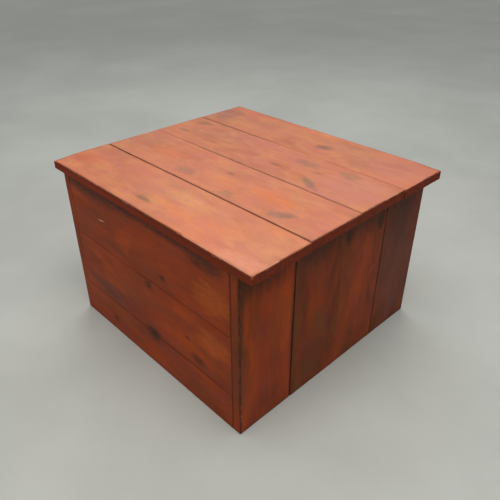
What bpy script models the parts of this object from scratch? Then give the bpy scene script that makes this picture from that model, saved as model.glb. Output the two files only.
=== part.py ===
"""Wooden toy box: a square chest of thick pine boards with a four-board lid on two butt hinges.

Metres, +Z up. The origin is the centre of the whole object's footprint, on the floor. The front faces -Y, the
hinges are at the back (+Y), and left and right are seen from the front. Pieces of the box are parented to the
empty toy_box, and pieces of the lid to the empty lid_hinge, which lies on the hinge axis.
"""

import math

import bmesh
import bpy
from mathutils import Matrix, Vector

# Fit between pieces
GAP = 0.0003
BEVEL = 0.0015
MERGE_DISTANCE = 1e-6
SMOOTH_ANGLE = 35.0

# Board stock
BOARD_THICKNESS = 0.028
POST_SIZE = 0.044
BATTEN_WIDTH = 0.070
RAIL_HEIGHT = 0.044
FLOOR_THICKNESS = 0.018

# Box walls
BOX_WIDTH = 0.7628
WALL_HEIGHT = 0.500
SIDE_BOARD_WIDTHS = (0.1870, 0.1900, 0.1900, 0.1900)
SIDE_SEAMS = (0.0012, 0.0004, 0.0010)
SIDE_SEAMS_AT_FLOOR = (0.0040, 0.0004, 0.0010)
SIDE_BOARD_LIFTS = (0.0015, 0.0, 0.0010, 0.0005)
FRONT_BOARD_HEIGHTS = (0.1200, 0.1900, 0.1886)
FRONT_SEAMS = (0.0010, 0.0004)
FRONT_END_GAP = 0.0010
WALL_BOARD_NAMES = ("bottom", "middle", "top")

# Inner frame and floor
POST_DROP = 0.005
BOTTOM_RAIL_LIFT = 0.020
FLOOR_BOARD_WIDTHS = (0.1900, 0.1900, 0.1900)
FLOOR_SEAM = 0.0015

# Lid
LID_LENGTH = 0.850
LID_BOARD_WIDTHS = (0.1885, 0.1915, 0.1935, 0.1860)
LID_SEAMS = (0.0025, 0.0006, 0.0012)
LID_LEFT_ENDS = (0.0012, 0.0, 0.0022, 0.0004)
LID_RIGHT_ENDS = (0.0022, -0.0013, -0.0028, -0.0006)
LID_BATTEN_LENGTH = 0.580
LID_BATTEN_X = 0.245

# Hinges
HINGE_X = 0.255
HINGE_LENGTH = 0.080
LEAF_WIDTH = 0.0235
LEAF_THICKNESS = 0.0018
LEAF_NOTCH = 0.0043
TONGUE_START = 0.0017
TONGUE_INSET = 0.0002
KNUCKLE_RADIUS = 0.0035
KNUCKLE_COUNT = 5
KNUCKLE_SEGMENTS = 20
PIN_RADIUS = 0.0018
PIN_HEAD_RADIUS = 0.0030
PIN_HEAD_HEIGHT = 0.0012
LEAF_SCREW_COUNT = 3
LEAF_SCREW_SPACING = 0.027
LEAF_SCREW_FROM_AXIS = 0.0145

# Screws: head radius, head depth, shank radius, length
HINGE_SCREW = (0.0034, 0.0017, 0.0016, 0.019)
BATTEN_SCREW = (0.0044, 0.0030, 0.0021, 0.048)
SCREW_HEAD_RIM = 0.0003
SCREW_TIP_LENGTH = 0.004
SCREW_SEGMENTS = 12
CUTTER_REACH = 0.002

# Places worked out from the sizes above
LID_DEPTH = sum(LID_BOARD_WIDTHS) + sum(LID_SEAMS)
BOX_DEPTH = sum(SIDE_BOARD_WIDTHS) + sum(SIDE_SEAMS)
HINGE_PROJECTION = GAP + 2 * KNUCKLE_RADIUS
FRONT_Y = -(LID_DEPTH + HINGE_PROJECTION) / 2
BACK_Y = FRONT_Y + LID_DEPTH
BOX_FRONT_Y = BACK_Y - BOX_DEPTH
BOX_SIDE_X = BOX_WIDTH / 2
INNER_X = BOX_SIDE_X - BOARD_THICKNESS
INNER_FRONT_Y = BOX_FRONT_Y + BOARD_THICKNESS
INNER_BACK_Y = BACK_Y - BOARD_THICKNESS
POST_TOP = WALL_HEIGHT - POST_DROP
FLOOR_BOTTOM = BOTTOM_RAIL_LIFT + RAIL_HEIGHT + GAP
LID_BOTTOM = WALL_HEIGHT + GAP
LID_TOP = LID_BOTTOM + BOARD_THICKNESS
BATTEN_TOP = LID_BOTTOM - GAP
HINGE_AXIS = Vector((0.0, BACK_Y + GAP + KNUCKLE_RADIUS, WALL_HEIGHT + GAP / 2))

STAINED_LID = ((0.42, 0.11, 0.045), 0.45, 0.0)
STAINED_WALL = ((0.17, 0.035, 0.015), 0.55, 0.0)
BARE_PINE = ((0.66, 0.45, 0.24), 0.70, 0.0)
HINGE_STEEL = ((0.52, 0.50, 0.46), 0.35, 1.0)
SCREW_STEEL = ((0.62, 0.52, 0.30), 0.35, 1.0)


def clear_scene():
    for obj in list(bpy.data.objects):
        bpy.data.objects.remove(obj, do_unlink=True)


def add_empty(name, location):
    empty = bpy.data.objects.new(name, None)
    empty.location = location
    bpy.context.scene.collection.objects.link(empty)
    return empty


def finish_material(name, finish):
    """A Principled material of its own for one piece."""
    colour, roughness, metallic = finish
    material = bpy.data.materials.new(name)
    material.use_nodes = True
    shader = material.node_tree.nodes["Principled BSDF"]
    shader.inputs["Base Color"].default_value = (*colour, 1.0)
    shader.inputs["Roughness"].default_value = roughness
    shader.inputs["Metallic"].default_value = metallic
    material.diffuse_color = (*colour, 1.0)
    return material


def add_piece(name, shape, finish, parent, centre):
    """Turns a bmesh, drawn in world coordinates, into a parented object whose origin is centre."""
    bmesh.ops.translate(shape, verts=shape.verts, vec=-centre)
    bmesh.ops.recalc_face_normals(shape, faces=shape.faces)
    mesh = bpy.data.meshes.new(name)
    shape.to_mesh(mesh)
    shape.free()
    mesh.materials.append(finish_material(name, finish))
    piece = bpy.data.objects.new(name, mesh)
    bpy.context.scene.collection.objects.link(piece)
    piece.parent = parent
    piece.location = centre - parent.location
    return piece


def rectangle(low, high):
    """The four corners of an upright rectangle between two opposite corners."""
    return [(low[0], low[1]), (high[0], low[1]), (high[0], high[1]), (low[0], high[1])]


def prism_shape(outline, along, start, end):
    """A flat outline, drawn in the two other axes in order, extruded from start to end along one axis."""
    third = "XYZ".index(along)
    first, second = [axis for axis in range(3) if axis != third]
    shape = bmesh.new()
    corners = []
    for point in outline:
        place = [0.0, 0.0, 0.0]
        place[first], place[second], place[third] = point[0], point[1], start
        corners.append(shape.verts.new(place))
    base = shape.faces.new(corners)
    extruded = bmesh.ops.extrude_face_region(shape, geom=[base])
    moved = [item for item in extruded["geom"] if isinstance(item, bmesh.types.BMVert)]
    push = [0.0, 0.0, 0.0]
    push[third] = end - start
    bmesh.ops.translate(shape, verts=moved, vec=push)
    return shape


def middle_of(shape):
    """The centre of a shape's bounding box."""
    points = [vert.co for vert in shape.verts]
    low = Vector([min(point[axis] for point in points) for axis in range(3)])
    high = Vector([max(point[axis] for point in points) for axis in range(3)])
    return (low + high) / 2


def add_board(name, outline, along, start, end, finish, parent):
    """A wooden piece: a prism with its arrises taken off."""
    shape = prism_shape(outline, along, start, end)
    board = add_piece(name, shape, finish, parent, middle_of(shape))
    bevel = board.modifiers.new("arris", "BEVEL")
    bevel.width = BEVEL
    bevel.segments = 1
    bevel.limit_method = "ANGLE"
    return board


def turned_shape(profile, segments, matrix):
    """A closed turned solid. The (radius, height) profile runs from axis to axis or back to its own start."""
    shape = bmesh.new()
    points = [shape.verts.new((radius, 0.0, height)) for radius, height in profile]
    edges = [shape.edges.new(pair) for pair in zip(points, points[1:])]
    bmesh.ops.spin(shape, geom=points + edges, cent=(0, 0, 0), axis=(0, 0, 1), angle=2 * math.pi,
                   steps=segments, use_merge=True)
    bmesh.ops.remove_doubles(shape, verts=shape.verts, dist=MERGE_DISTANCE)
    bmesh.ops.transform(shape, verts=shape.verts, matrix=matrix)
    return shape


def smooth_round(piece):
    piece.data.shade_smooth()
    piece.data.set_sharp_from_angle(angle=math.radians(SMOOTH_ANGLE))


def screw_profile(size, clearance=0.0, reach=0.0):
    """A countersunk screw, head at height 0, tip below. With a clearance and a reach, its hole's cutter."""
    head_radius, head_depth, shank_radius, length = size
    return [
        (0.0, reach),
        (head_radius + clearance, reach),
        (head_radius + clearance, -SCREW_HEAD_RIM),
        (shank_radius + clearance, -head_depth - clearance),
        (shank_radius + clearance, -(length - SCREW_TIP_LENGTH) - clearance),
        (0.0, -length - 2 * clearance),
    ]


def helper_piece(name, shape, parent):
    """A hidden helper that a Boolean adds to a piece or takes away from it."""
    helper = add_piece(name, shape, SCREW_STEEL, parent, middle_of(shape))
    helper.hide_render = True
    helper.display_type = "WIRE"
    return helper


def join_by_boolean(piece, other, operation):
    boolean = piece.modifiers.new(other.name, "BOOLEAN")
    boolean.operation = operation
    boolean.object = other


def add_screw(name, size, head, points, holders, parent):
    """A screw with its head's face at head and its tip towards points, and its hole through each holder."""
    turn = Vector((0, 0, -1)).rotation_difference(Vector(points))
    matrix = Matrix.Translation(head) @ turn.to_matrix().to_4x4()
    shape = turned_shape(screw_profile(size), SCREW_SEGMENTS, matrix)
    screw = add_piece(name, shape, SCREW_STEEL, parent, Vector(head))
    smooth_round(screw)
    bore = turned_shape(screw_profile(size, GAP, CUTTER_REACH), SCREW_SEGMENTS, matrix)
    cutter = helper_piece(name + "_hole", bore, parent)
    for holder in holders:
        join_by_boolean(holder, cutter, "DIFFERENCE")
    return screw


def seam_edges(start, widths, seams):
    """The two edges of each board in a row: boards of these widths, with these seams between them."""
    edges = []
    for width, seam in zip(widths, (*seams, 0.0)):
        edges.append((start, start + width))
        start += width + seam
    return edges


def add_side_walls(box):
    """Four upright boards a side. The seam behind the front board opens towards the floor."""
    at_top = seam_edges(BOX_FRONT_Y, SIDE_BOARD_WIDTHS, SIDE_SEAMS)
    for side, inner, outer in (("left", -INNER_X, -BOX_SIDE_X), ("right", INNER_X, BOX_SIDE_X)):
        for number, (front, back) in enumerate(at_top):
            opening = SIDE_SEAMS_AT_FLOOR[number - 1] - SIDE_SEAMS[number - 1] if number else 0.0
            lift = SIDE_BOARD_LIFTS[number] if side == "right" else SIDE_BOARD_LIFTS[-1 - number]
            outline = [(front + opening, lift), (back, lift), (back, WALL_HEIGHT), (front, WALL_HEIGHT)]
            add_board(f"{side}_side_board_{number + 1}", outline, "X", inner, outer, STAINED_WALL, box)


def add_cross_walls(box):
    """Three level boards at the front and three at the back, let in between the side walls."""
    boards = {}
    end = INNER_X - FRONT_END_GAP
    rows = seam_edges(0.0, FRONT_BOARD_HEIGHTS, FRONT_SEAMS)
    for wall, outer, inner in (("front", BOX_FRONT_Y, INNER_FRONT_Y), ("back", BACK_Y, INNER_BACK_Y)):
        for row, (bottom, top) in zip(WALL_BOARD_NAMES, rows):
            name = f"{wall}_board_{row}"
            outline = rectangle((-end, bottom), (end, top))
            boards[name] = add_board(name, outline, "Y", outer, inner, STAINED_WALL, box)
    return boards


def add_frame(box):
    """Corner posts, and rails along both sides that the side boards and the floor are fixed to."""
    post_outer_x = INNER_X - GAP
    post_inner_x = post_outer_x - POST_SIZE
    spans = {"front": (INNER_FRONT_Y + GAP, INNER_FRONT_Y + GAP + POST_SIZE),
             "back": (INNER_BACK_Y - GAP - POST_SIZE, INNER_BACK_Y - GAP)}
    rail_ends = (spans["front"][1] + GAP, spans["back"][0] - GAP)
    levels = {"bottom": (BOTTOM_RAIL_LIFT, BOTTOM_RAIL_LIFT + RAIL_HEIGHT),
              "top": (POST_TOP - RAIL_HEIGHT, POST_TOP)}
    for side, sign in (("left", -1), ("right", 1)):
        for end, (front, back) in spans.items():
            outline = rectangle((sign * post_outer_x, front), (sign * post_inner_x, back))
            add_board(f"corner_post_{end}_{side}", outline, "Z", 0.0, POST_TOP, BARE_PINE, box)
        for level, (bottom, top) in levels.items():
            outline = rectangle((rail_ends[0], bottom), (rail_ends[1], top))
            inner = post_outer_x - BOARD_THICKNESS
            add_board(f"{side}_{level}_rail", outline, "X", sign * post_outer_x, sign * inner, BARE_PINE, box)


def notched_outline(half_length, front, back, notch, notch_front, notch_back):
    """A floor board's outline, with the corners that meet the posts cut out."""
    points = []
    front_left, front_right = (-1, front, notch_front), (1, front, notch_front)
    back_right, back_left = (1, back, notch_back), (-1, back, notch_back)
    for x, y, cut in (front_left, front_right, back_right, back_left):
        corner = (x * half_length, y)
        inward_x = x * (half_length - notch)
        inward_y = y + notch if y == front else y - notch
        if not cut:
            points.append(corner)
        elif x * (y - (front + back) / 2) > 0:
            points += [(corner[0], inward_y), (inward_x, inward_y), (inward_x, y)]
        else:
            points += [(inward_x, y), (inward_x, inward_y), (corner[0], inward_y)]
    return points


def add_floor(box):
    """Boards laid from side to side on the bottom rails. The last one is sawn to what is left."""
    start = INNER_FRONT_Y + GAP
    space = INNER_BACK_Y - GAP - start
    last = space - sum(FLOOR_BOARD_WIDTHS) - FLOOR_SEAM * len(FLOOR_BOARD_WIDTHS)
    widths = (*FLOOR_BOARD_WIDTHS, last)
    notch = POST_SIZE + 2 * GAP
    for number, (front, back) in enumerate(seam_edges(start, widths, (FLOOR_SEAM,) * 3)):
        first_board = number == 0
        last_board = number == len(widths) - 1
        outline = notched_outline(INNER_X - GAP, front, back, notch, first_board, last_board)
        add_board(f"floor_board_{number + 1}", outline, "Z", FLOOR_BOTTOM, FLOOR_BOTTOM + FLOOR_THICKNESS,
                  BARE_PINE, box)


def add_lid(hinge):
    """Four long boards held side by side by two battens under them, each board screwed to each batten."""
    boards = []
    rows = seam_edges(FRONT_Y, LID_BOARD_WIDTHS, LID_SEAMS)
    for number, ((front, back), left, right) in enumerate(zip(rows, LID_LEFT_ENDS, LID_RIGHT_ENDS)):
        outline = rectangle((-LID_LENGTH / 2 - left, front), (LID_LENGTH / 2 + right, back))
        name = f"lid_board_{number + 1}"
        boards.append(add_board(name, outline, "Z", LID_BOTTOM, LID_TOP, STAINED_LID, hinge))
    middle = (FRONT_Y + BACK_Y) / 2
    for side, x in (("left", -LID_BATTEN_X), ("right", LID_BATTEN_X)):
        outline = rectangle((x - BATTEN_WIDTH / 2, middle - LID_BATTEN_LENGTH / 2),
                            (x + BATTEN_WIDTH / 2, middle + LID_BATTEN_LENGTH / 2))
        bottom = BATTEN_TOP - BOARD_THICKNESS
        batten = add_board(f"lid_batten_{side}", outline, "Z", bottom, BATTEN_TOP, BARE_PINE, hinge)
        for number, (board, (front, back)) in enumerate(zip(boards, rows)):
            low = max(front, middle - LID_BATTEN_LENGTH / 2)
            high = min(back, middle + LID_BATTEN_LENGTH / 2)
            head = (x, (low + high) / 2, bottom)
            name = f"lid_batten_{side}_screw_{number + 1}"
            add_screw(name, BATTEN_SCREW, head, (0, 0, 1), (batten, board), hinge)
    return boards


def knuckle_spans(centre_x):
    """The stretches of the hinge barrel, along X, with a clearance between each and the next."""
    length = HINGE_LENGTH / KNUCKLE_COUNT
    start = centre_x - HINGE_LENGTH / 2
    return [(start + length * number + GAP / 2, start + length * (number + 1) - GAP / 2)
            for number in range(KNUCKLE_COUNT)]


def leaf_outline(spans, own, up):
    """A leaf in X and Z: a plate with a tongue into each of its own knuckles, clear of the other leaf's."""
    outer = HINGE_AXIS.z + up * LEAF_WIDTH
    notch = HINGE_AXIS.z + up * LEAF_NOTCH
    tip = HINGE_AXIS.z + up * TONGUE_START
    points = [(spans[0][0], outer), (spans[0][0], notch)]
    for number in own:
        low, high = spans[number][0] + TONGUE_INSET, spans[number][1] - TONGUE_INSET
        points += [(low, notch), (low, tip), (high, tip), (high, notch)]
    return points + [(spans[-1][1], notch), (spans[-1][1], outer)]


def along_x(start):
    """A matrix that lays a turned shape along +X on the hinge axis, from start."""
    return Matrix.Translation((start, HINGE_AXIS.y, HINGE_AXIS.z)) @ Matrix.Rotation(math.pi / 2, 4, "Y")


def tube_profile(inner, outer, length):
    return [(inner, 0.0), (outer, 0.0), (outer, length), (inner, length), (inner, 0.0)]


def add_leaf(name, centre_x, own, up, parent):
    """One leaf of a butt hinge: a plate and its rolled knuckles, which leave the pin its bore."""
    spans = knuckle_spans(centre_x)
    plate = prism_shape(leaf_outline(spans, own, up), "Y", BACK_Y + GAP, BACK_Y + GAP + LEAF_THICKNESS)
    leaf = add_piece(name, plate, HINGE_STEEL, parent, middle_of(plate))
    for number in own:
        start, end = spans[number]
        rolled = tube_profile(PIN_RADIUS + GAP, KNUCKLE_RADIUS, end - start)
        barrel = turned_shape(rolled, KNUCKLE_SEGMENTS, along_x(start))
        join_by_boolean(leaf, helper_piece(f"{name}_knuckle_{number + 1}", barrel, parent), "UNION")
    return leaf


def add_pin(name, centre_x, parent):
    """The hinge pin, headed at both ends so that it stays in the barrel."""
    half = HINGE_LENGTH / 2 + GAP
    end = half + PIN_HEAD_HEIGHT
    profile = [(0.0, -end), (PIN_HEAD_RADIUS, -end), (PIN_HEAD_RADIUS, -half), (PIN_RADIUS, -half),
               (PIN_RADIUS, half), (PIN_HEAD_RADIUS, half), (PIN_HEAD_RADIUS, end), (0.0, end)]
    shape = turned_shape(profile, KNUCKLE_SEGMENTS, along_x(centre_x))
    smooth_round(add_piece(name, shape, HINGE_STEEL, parent, HINGE_AXIS + Vector((centre_x, 0, 0))))


def add_hinge(side, centre_x, box, hinge, back_board, lid_board):
    """A butt hinge on the back: one leaf on the box, one on the lid's back edge, each with three screws."""
    box_half = ("box", range(0, KNUCKLE_COUNT, 2), -1, back_board, box)
    lid_half = ("lid", range(1, KNUCKLE_COUNT, 2), 1, lid_board, hinge)
    for part, own, up, holder, parent in (box_half, lid_half):
        leaf = add_leaf(f"{side}_hinge_{part}_leaf", centre_x, own, up, parent)
        for number in range(LEAF_SCREW_COUNT):
            offset = (number - (LEAF_SCREW_COUNT - 1) / 2) * LEAF_SCREW_SPACING
            height = HINGE_AXIS.z + up * LEAF_SCREW_FROM_AXIS
            head = (centre_x + offset, BACK_Y + GAP + LEAF_THICKNESS, height)
            name = f"{side}_hinge_{part}_screw_{number + 1}"
            add_screw(name, HINGE_SCREW, head, (0, -1, 0), (leaf, holder), parent)
    add_pin(f"{side}_hinge_pin", centre_x, box)


def main():
    clear_scene()
    box = add_empty("toy_box", (0.0, 0.0, 0.0))
    hinge = add_empty("lid_hinge", HINGE_AXIS)
    hinge.parent = box
    add_side_walls(box)
    cross_walls = add_cross_walls(box)
    add_frame(box)
    add_floor(box)
    lid_boards = add_lid(hinge)
    for side, centre_x in (("left", -HINGE_X), ("right", HINGE_X)):
        add_hinge(side, centre_x, box, hinge, cross_walls["back_board_top"], lid_boards[-1])


main()
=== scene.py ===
"""Looks of the wooden toy box: worn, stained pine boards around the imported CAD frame.

Metres, +Z up, in the frame's own coordinates. Every wooden node is replaced by a denser board of the
same size, with worn arrises and a solid wood texture of its own. A board's local X runs along its grain,
local Y across it, and local Z out of its show face.
"""

import math

import bmesh
import bpy
import numpy as np
from mathutils import Matrix, Vector, noise


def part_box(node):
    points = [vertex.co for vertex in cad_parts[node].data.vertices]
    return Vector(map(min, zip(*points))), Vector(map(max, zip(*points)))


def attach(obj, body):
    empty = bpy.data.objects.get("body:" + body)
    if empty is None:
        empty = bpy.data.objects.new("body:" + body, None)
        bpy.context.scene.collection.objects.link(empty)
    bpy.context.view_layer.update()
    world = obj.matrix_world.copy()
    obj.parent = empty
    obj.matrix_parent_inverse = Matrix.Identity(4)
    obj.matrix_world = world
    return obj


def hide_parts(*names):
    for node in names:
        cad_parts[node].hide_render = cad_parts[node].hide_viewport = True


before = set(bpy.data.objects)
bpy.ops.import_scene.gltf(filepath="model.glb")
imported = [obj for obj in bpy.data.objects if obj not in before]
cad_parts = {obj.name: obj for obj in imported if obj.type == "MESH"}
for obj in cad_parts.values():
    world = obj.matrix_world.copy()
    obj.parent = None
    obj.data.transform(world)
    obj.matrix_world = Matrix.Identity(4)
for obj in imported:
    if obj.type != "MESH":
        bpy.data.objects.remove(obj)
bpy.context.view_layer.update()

# Camera: where it stands, measured from the middle of the closed lid's outline on the floor
CAMERA_FROM_LID = Vector((1.0589, -0.9994, 1.1432))
CAMERA_AZIMUTH = 45.90
CAMERA_ELEVATION = 32.02
SENSOR_WIDTH = 36.0
LENS = 38.28

# Board meshes
ARRIS_STEPS = (0.0, 0.0004, 0.0010, 0.0018, 0.0028, 0.0042, 0.0060, 0.0082)
SPACING_ALONG = 0.008
SPACING_ACROSS = 0.005
ARRIS_RADIUS = 0.0014
ARRIS_RIPPLE = 0.0007
LEAST_RADIUS = 0.0004
TIGHT_END_SHARE = 0.35
TIGHT_SIDE_LOSS = 0.75
PLANING_DEPTH = 0.00025
KNOT_GROOVE = 0.00035
CHIPPED_ARRIS = (-0.094, 0.014)
NOTCH_ROOM = (0.0003, 0.0003, 0.01)

# Grain: ranges for the pith's place, the tree's taper, the rings and the small knots of the bare wood
TEXTURE_SPREAD = 5.0
PITH_ASIDE = (-0.05, 0.05)
PITH_BELOW = (0.045, 0.11)
SLOPE_ASIDE = (-0.02, 0.02)
SLOPE_UP = (0.018, 0.045)
RING_SPACING = (0.0042, 0.0062)
KNOT_RADII = (0.004, 0.009)
KNOT_STRETCHES = (1.2, 1.7)
STAINED_RELIEF = 0.00022
BARE_RELIEF = 0.00030

# Screws: head radius, head depth, shank radius, length
HINGE_SCREW = (0.0034, 0.0017, 0.0016, 0.019)
BATTEN_SCREW = (0.0044, 0.0030, 0.0021, 0.048)
WALL_SCREW = (0.0044, 0.0030, 0.0021, 0.045)
FLOOR_SCREW = (0.0040, 0.0028, 0.0019, 0.035)
HEAD_PROUD = 0.0001
HEAD_CROWN = 0.00012
HEAD_SEGMENTS, HEAD_RINGS = 40, 14
CROSS_SHARES = (0.62, 0.17, 0.42)  # the cross's arm, half width and depth, as shares of the head's radius
POST_SCREW_HEIGHTS = (0.115, 0.215, 0.330, 0.445)
POST_SCREW_STAGGER = 0.030
RAIL_SCREW_STAGGER = 0.024

SIDES = ("left", "right")
ENDS = ("front", "back")

# Which way each board lies: the world directions of its local X (grain), Y (across) and Z (show face)
X, Y, Z = Vector((1, 0, 0)), Vector((0, 1, 0)), Vector((0, 0, 1))
FACINGS = {
    "up": (X, Y, Z),
    "down": (Y, X, -Z),
    "front": (X, Z, -Y),
    "back": (-X, Z, Y),
    "left": (Z, Y, -X),
    "right": (Z, -Y, X),
    "rail_left": (Y, Z, X),
    "rail_right": (Y, -Z, -X),
}

# Stain colours: the tones from the darkest streak to the palest, then the tints that drift over them.
# The lid's tones are paler than the walls'. Part of that is the lid's own lighter stain, and part is a
# painted sheen: the glossy top's reflection is painted into the colour, while its specular level stays
# low. Its darker edge tone has no painted sheen.
LID_STAIN_AND_PAINTED_SHEEN = {
    "tones": ((0.25, 0.068, 0.03), (0.39, 0.108, 0.046), (0.47, 0.14, 0.058), (0.55, 0.185, 0.082)),
    "orange": (0.59, 0.158, 0.04),
    "olive": (0.26, 0.135, 0.07),
    "plum": (0.41, 0.115, 0.085),
    "tan": (0.57, 0.225, 0.085),
    "rose": (0.45, 0.125, 0.092),
    "worn": (0.66, 0.3, 0.19),
    "edge": (0.18, 0.016, 0.002),
    "seam": (0.12, 0.024, 0.008),
    "knot": (0.22, 0.088, 0.045),
    "roughness": 0.38,
    "specular": 0.2,
}
WALL_STAIN = {
    "tones": ((0.12, 0.027, 0.007), (0.238, 0.037, 0.007), (0.326, 0.046, 0.008), (0.408, 0.062, 0.009)),
    "orange": (0.49, 0.07, 0.006),
    "olive": (0.15, 0.05, 0.013),
    "plum": (0.18, 0.038, 0.028),
    "tan": (0.35, 0.066, 0.01),
    "rose": (0.21, 0.03, 0.016),
    "worn": (0.5, 0.16, 0.07),
    "edge": (0.14, 0.03, 0.012),
    "seam": (0.05, 0.013, 0.006),
    "knot": (0.055, 0.024, 0.011),
    "roughness": 0.48,
    "specular": 0.09,
}
BARE_EARLY = (0.66, 0.45, 0.245)
BARE_LATE = (0.5, 0.275, 0.115)
BARE_KNOT = (0.2, 0.08, 0.032)
HANDLED = (0.33, 0.22, 0.13)
BARE_ROUGHNESS = 0.72
EDGE_SHADES = (0.55, 0.85, 1.25, 1.7)
WEAR_NOISE = 0.0040
RUN_OVER = 0.014

FLOOR_REACH = 30.0
FLOOR_DROP = 0.0005


# ---- shader graphs


class Graph:
    """Short ways to add nodes to a shader tree. A value is a number, a tuple or a node's output."""

    def __init__(self, tree):
        self.tree = tree

    def add(self, kind, inputs=None, **settings):
        node = self.tree.nodes.new("ShaderNode" + kind)
        for name, value in settings.items():
            setattr(node, name, value)
        for key, value in (inputs or {}).items():
            if isinstance(value, bpy.types.NodeSocket):
                self.tree.links.new(value, node.inputs[key])
            else:
                node.inputs[key].default_value = value
        return node

    def link(self, output, socket):
        self.tree.links.new(output, socket)

    def math(self, operation, *values):
        return self.add("Math", dict(enumerate(values)), operation=operation).outputs[0]

    def plus(self, first, second):
        return self.math("ADD", first, second)

    def minus(self, first, second):
        return self.math("SUBTRACT", first, second)

    def times(self, first, second):
        return self.math("MULTIPLY", first, second)

    def vector(self, operation, *values):
        node = self.add("VectorMath", dict(enumerate(values)), operation=operation)
        return node.outputs["Value" if operation == "LENGTH" else "Vector"]

    def parts(self, vector):
        """The X, Y and Z of a vector."""
        return self.add("SeparateXYZ", {0: vector}).outputs

    def noise(self, point, stretch, detail=2.0, roughness=0.5, distortion=0.0, output="Fac"):
        """Noise on coordinates scaled by stretch, so that a small number draws it out along that axis."""
        inputs = {"Vector": self.vector("MULTIPLY", point, stretch), "Scale": 1.0}
        inputs.update({"Detail": detail, "Roughness": roughness, "Distortion": distortion})
        return self.add("TexNoise", inputs).outputs[output]

    def ease(self, value, start, end, low=0.0, high=1.0):
        """A smooth step from low at start to high at end."""
        inputs = {0: value, 1: start, 2: end, 3: low, 4: high}
        return self.add("MapRange", inputs, interpolation_type="SMOOTHSTEP").outputs[0]

    def mix(self, share, first, second):
        inputs = {0: share, 6: colour4(first), 7: colour4(second)}
        return self.add("Mix", inputs, data_type="RGBA").outputs[2]

    def mix_value(self, share, first, second):
        return self.add("Mix", {0: share, 2: first, 3: second}).outputs[0]

    def ramp(self, value, colours):
        """Evenly spaced colours over 0 to 1."""
        node = self.add("ValToRGB", {0: value})
        elements = node.color_ramp.elements
        while len(elements) < len(colours):
            elements.new(0.5)
        for place, (element, colour) in enumerate(zip(elements, colours)):
            element.position = place / (len(colours) - 1)
            element.color = colour4(colour)
        return node.outputs[0]

    def give(self, sockets, **values):
        """Links each value to the group output socket of its name."""
        for name, value in values.items():
            self.link(value, sockets[name])

    def group(self, name, inputs):
        return self.add("Group", inputs, node_tree=GROUPS[name]).outputs


def colour4(colour):
    return colour if isinstance(colour, bpy.types.NodeSocket) or len(colour) == 4 else (*colour, 1.0)


GROUPS = {}


def group_tree(name, inputs, outputs):
    """A new node group with typed sockets: its graph, what it is given and what it returns."""
    tree = bpy.data.node_groups.new(name, "ShaderNodeTree")
    for label, kind in inputs:
        tree.interface.new_socket(label, in_out="INPUT", socket_type="NodeSocket" + kind)
    for label, kind in outputs:
        tree.interface.new_socket(label, in_out="OUTPUT", socket_type="NodeSocket" + kind)
    given = tree.nodes.new("NodeGroupInput")
    result = tree.nodes.new("NodeGroupOutput")
    GROUPS[name] = tree
    return Graph(tree), given.outputs, result.inputs


def make_rings_group():
    """Annual rings and fibres of a board sawn from a trunk whose pith runs along X, a little askew."""
    graph, given, result = group_tree(
        "pine_rings",
        (("Point", "Vector"), ("Pith", "Vector"), ("Slope", "Vector"), ("Spacing", "Float")),
        (("Late", "Float"), ("Streak", "Float"), ("Fibre", "Float")),
    )
    point = given["Point"]
    sway = graph.noise(point, (1.6, 9.0, 9.0), detail=3.0, output="Color")
    sway = graph.vector("SUBTRACT", sway, (0.5, 0.5, 0.5))
    sway = graph.vector("MULTIPLY", sway, (0.0, 0.030, 0.030))
    bent = graph.vector("ADD", point, sway)
    along = graph.parts(point)[0]
    drift = graph.add("CombineXYZ", {0: along, 1: along, 2: along}).outputs[0]
    lean = graph.vector("MULTIPLY", drift, given["Slope"])
    from_pith = graph.vector("SUBTRACT", graph.vector("SUBTRACT", bent, given["Pith"]), lean)
    flat = graph.vector("MULTIPLY", from_pith, (0.0, 1.0, 1.0))
    radius = graph.vector("LENGTH", flat)
    turns = graph.math("DIVIDE", radius, given["Spacing"])
    uneven = graph.noise(graph.add("CombineXYZ", {0: turns}).outputs[0], (0.45, 1.0, 1.0), detail=1.0)
    turns = graph.plus(turns, graph.times(uneven, 1.8))
    ring = graph.math("FRACT", turns)
    rise = graph.ease(ring, 0.30, 0.88)
    fall = graph.ease(ring, 0.93, 1.0, 1.0, 0.0)
    streak = graph.noise(point, (2.4, 110.0, 110.0), detail=3.0, roughness=0.6)
    fibre = graph.noise(point, (18.0, 1100.0, 1100.0), detail=3.0, roughness=0.65)
    late = graph.times(graph.times(rise, fall), graph.ease(streak, 0.20, 0.60, 0.55, 1.0))
    graph.give(result, Late=late, Streak=streak, Fibre=fibre)


def make_knot_group():
    """A knot: the grain's bend round it, and masks for its disc, its rim and the wood around it."""
    graph, given, result = group_tree(
        "pine_knot",
        (("Point", "Vector"), ("Centre", "Vector"), ("Radius", "Float"), ("Stretch", "Float")),
        (("Point", "Vector"), ("Knot", "Float"), ("Halo", "Float"), ("Core", "Float")),
    )
    point = given["Point"]
    away = graph.vector("SUBTRACT", point, given["Centre"])
    parts = graph.parts(away)
    across = parts[1]
    along = graph.math("DIVIDE", parts[0], given["Stretch"])
    oval = graph.vector("LENGTH", graph.add("CombineXYZ", {0: along, 1: across}).outputs[0])
    ragged = graph.noise(point, (70.0, 90.0, 20.0))
    ragged = graph.times(graph.minus(ragged, 0.5), 1.1)
    reach = graph.plus(graph.math("DIVIDE", oval, given["Radius"]), ragged)
    pull = graph.math("POWER", 2.718, graph.times(graph.math("POWER", reach, 2.0), -0.22))
    shift = graph.times(graph.times(across, pull), -0.92)
    moved = graph.vector("ADD", point, graph.add("CombineXYZ", {1: shift}).outputs[0])
    disc = graph.ease(reach, 0.80, 1.08, 1.0, 0.0)
    rim = graph.times(graph.ease(reach, 0.55, 0.92), disc)
    halo = graph.ease(reach, 1.0, 2.9, 1.0, 0.0)
    graph.give(result, Point=moved, Knot=disc, Halo=halo, Core=rim)


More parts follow.
